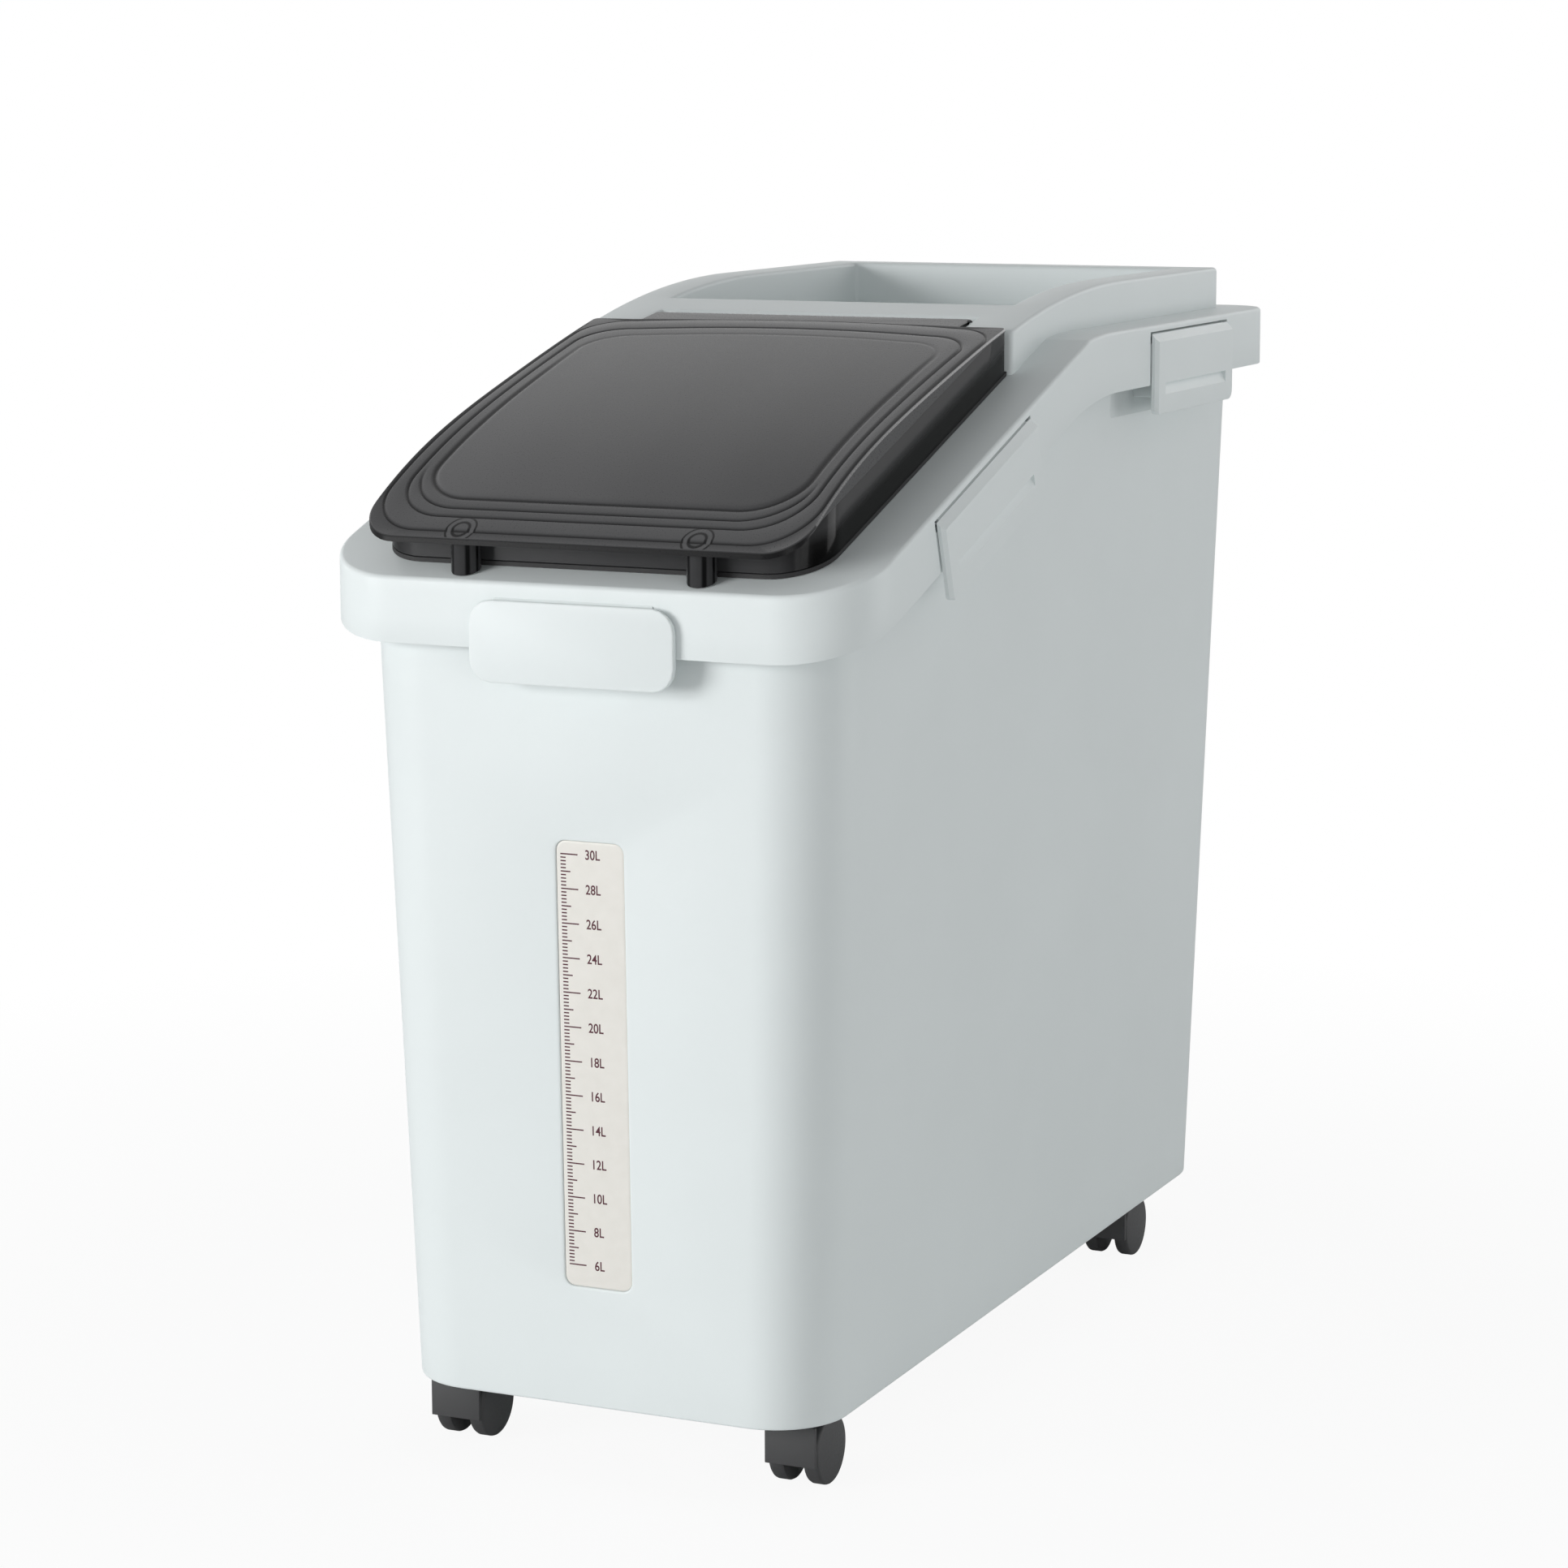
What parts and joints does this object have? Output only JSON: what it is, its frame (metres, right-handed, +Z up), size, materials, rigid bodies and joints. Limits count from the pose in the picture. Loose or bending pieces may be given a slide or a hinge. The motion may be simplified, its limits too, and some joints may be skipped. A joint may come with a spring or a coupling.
{
  "type": "rolling flour bin",
  "caption": "Tall tapered dry-goods bin on swivel casters, with a sloped latched cover, smoked flip lid, rear tray fence and a litre sight window",
  "frame": {"origin": "on the ground under the middle of the bin", "axes": "+X across the width, to the right seen from the front; +Y to the rear; +Z up"},
  "size_m": [0.2872, 0.593, 0.549],
  "materials": {
    "white_shell": "satin moulded",
    "window": "milky translucent",
    "smoked_lid": "smoked, polished",
    "soft_seal": "matte",
    "steel": "drawn",
    "socket": "plain",
    "caster_plastic": "fine grain",
    "wheel_plastic": "fine grain"
  },
  "bodies": {
    "bin": {"tub": "white_shell", "sight_window": "window", "cover": "white_shell", "cover_seal": "soft_seal", "lid_hinge_pin_left": "steel", "lid_hinge_pin_right": "steel", "latch_pin_left_front": "steel", "latch_pin_right_front": "steel", "latch_pin_left_rear": "steel", "latch_pin_right_rear": "steel", "front_latch_pin": "steel", "stem_socket_front_left": "socket", "stem_socket_front_right": "socket", "stem_socket_rear_left": "socket", "stem_socket_rear_right": "socket"},
    "lid": {"flip_lid": "smoked_lid", "lid_seal": "soft_seal", "lid_bumper_left": "soft_seal", "lid_bumper_right": "soft_seal"},
    "latch_left_front": {"latch_left_front": "white_shell"},
    "latch_left_rear": {"latch_left_rear": "white_shell"},
    "latch_right_front": {"latch_right_front": "white_shell"},
    "latch_right_rear": {"latch_right_rear": "white_shell"},
    "front_latch": {"front_latch": "white_shell"},
    "caster_front_left": {"caster_body_front_left": "caster_plastic", "caster_stem_front_left": "steel", "axle_front_left": "steel"},
    "wheel_front_left_inner": {"wheel_front_left_inner": "wheel_plastic"},
    "wheel_front_left_outer": {"wheel_front_left_outer": "wheel_plastic"},
    "caster_front_right": {"caster_body_front_right": "caster_plastic", "caster_stem_front_right": "steel", "axle_front_right": "steel"},
    "wheel_front_right_inner": {"wheel_front_right_inner": "wheel_plastic"},
    "wheel_front_right_outer": {"wheel_front_right_outer": "wheel_plastic"},
    "caster_rear_left": {"caster_body_rear_left": "caster_plastic", "caster_stem_rear_left": "steel", "axle_rear_left": "steel"},
    "wheel_rear_left_inner": {"wheel_rear_left_inner": "wheel_plastic"},
    "wheel_rear_left_outer": {"wheel_rear_left_outer": "wheel_plastic"},
    "caster_rear_right": {"caster_body_rear_right": "caster_plastic", "caster_stem_rear_right": "steel", "axle_rear_right": "steel"},
    "wheel_rear_right_inner": {"wheel_rear_right_inner": "wheel_plastic"},
    "wheel_rear_right_outer": {"wheel_rear_right_outer": "wheel_plastic"}
  },
  "joints": [
    {"name": "lid_hinge", "type": "hinge", "parent": "bin", "child": "lid", "pos_m": [0, -0.02938, 0.53], "axis": [-1, 0, 0], "range_deg": [0, 108]},
    {"name": "latch_left_front_hinge", "type": "hinge", "parent": "bin", "child": "latch_left_front", "pos_m": [-0.13774, -0.14283, 0.47102], "axis": [0, 0.95, 0.3123], "range_deg": [0, 50]},
    {"name": "latch_left_rear_hinge", "type": "hinge", "parent": "bin", "child": "latch_left_rear", "pos_m": [-0.13774, 0.15162, 0.5205], "axis": [0, 1, 0], "range_deg": [0, 50]},
    {"name": "latch_right_front_hinge", "type": "hinge", "parent": "bin", "child": "latch_right_front", "pos_m": [0.13774, -0.14283, 0.47102], "axis": [0, -0.95, -0.3123], "range_deg": [0, 50]},
    {"name": "latch_right_rear_hinge", "type": "hinge", "parent": "bin", "child": "latch_right_rear", "pos_m": [0.13774, 0.15162, 0.5205], "axis": [0, -1, 0], "range_deg": [0, 50]},
    {"name": "front_latch_hinge", "type": "hinge", "parent": "bin", "child": "front_latch", "pos_m": [0, -0.29259, 0.4196], "axis": [-1, 0, 0], "range_deg": [0, 50]},
    {"name": "caster_front_left_swivel", "type": "hinge", "parent": "bin", "child": "caster_front_left", "pos_m": [-0.089, -0.2215, 0.04], "axis": [0, 0, 1], "continuous": true},
    {"name": "wheel_front_left_inner_spin", "type": "hinge", "parent": "caster_front_left", "child": "wheel_front_left_inner", "pos_m": [-0.089, -0.2355, 0.017], "axis": [1, 0, 0], "continuous": true},
    {"name": "wheel_front_left_outer_spin", "type": "hinge", "parent": "caster_front_left", "child": "wheel_front_left_outer", "pos_m": [-0.089, -0.2355, 0.017], "axis": [1, 0, 0], "continuous": true},
    {"name": "caster_front_right_swivel", "type": "hinge", "parent": "bin", "child": "caster_front_right", "pos_m": [0.089, -0.2215, 0.04], "axis": [0, 0, 1], "continuous": true},
    {"name": "wheel_front_right_inner_spin", "type": "hinge", "parent": "caster_front_right", "child": "wheel_front_right_inner", "pos_m": [0.089, -0.2355, 0.017], "axis": [1, 0, 0], "continuous": true},
    {"name": "wheel_front_right_outer_spin", "type": "hinge", "parent": "caster_front_right", "child": "wheel_front_right_outer", "pos_m": [0.089, -0.2355, 0.017], "axis": [1, 0, 0], "continuous": true},
    {"name": "caster_rear_left_swivel", "type": "hinge", "parent": "bin", "child": "caster_rear_left", "pos_m": [-0.089, 0.205, 0.04], "axis": [0, 0, 1], "continuous": true},
    {"name": "wheel_rear_left_inner_spin", "type": "hinge", "parent": "caster_rear_left", "child": "wheel_rear_left_inner", "pos_m": [-0.089, 0.191, 0.017], "axis": [1, 0, 0], "continuous": true},
    {"name": "wheel_rear_left_outer_spin", "type": "hinge", "parent": "caster_rear_left", "child": "wheel_rear_left_outer", "pos_m": [-0.089, 0.191, 0.017], "axis": [1, 0, 0], "continuous": true},
    {"name": "caster_rear_right_swivel", "type": "hinge", "parent": "bin", "child": "caster_rear_right", "pos_m": [0.089, 0.205, 0.04], "axis": [0, 0, 1], "continuous": true},
    {"name": "wheel_rear_right_inner_spin", "type": "hinge", "parent": "caster_rear_right", "child": "wheel_rear_right_inner", "pos_m": [0.089, 0.191, 0.017], "axis": [1, 0, 0], "continuous": true},
    {"name": "wheel_rear_right_outer_spin", "type": "hinge", "parent": "caster_rear_right", "child": "wheel_rear_right_outer", "pos_m": [0.089, 0.191, 0.017], "axis": [1, 0, 0], "continuous": true}
  ]
}
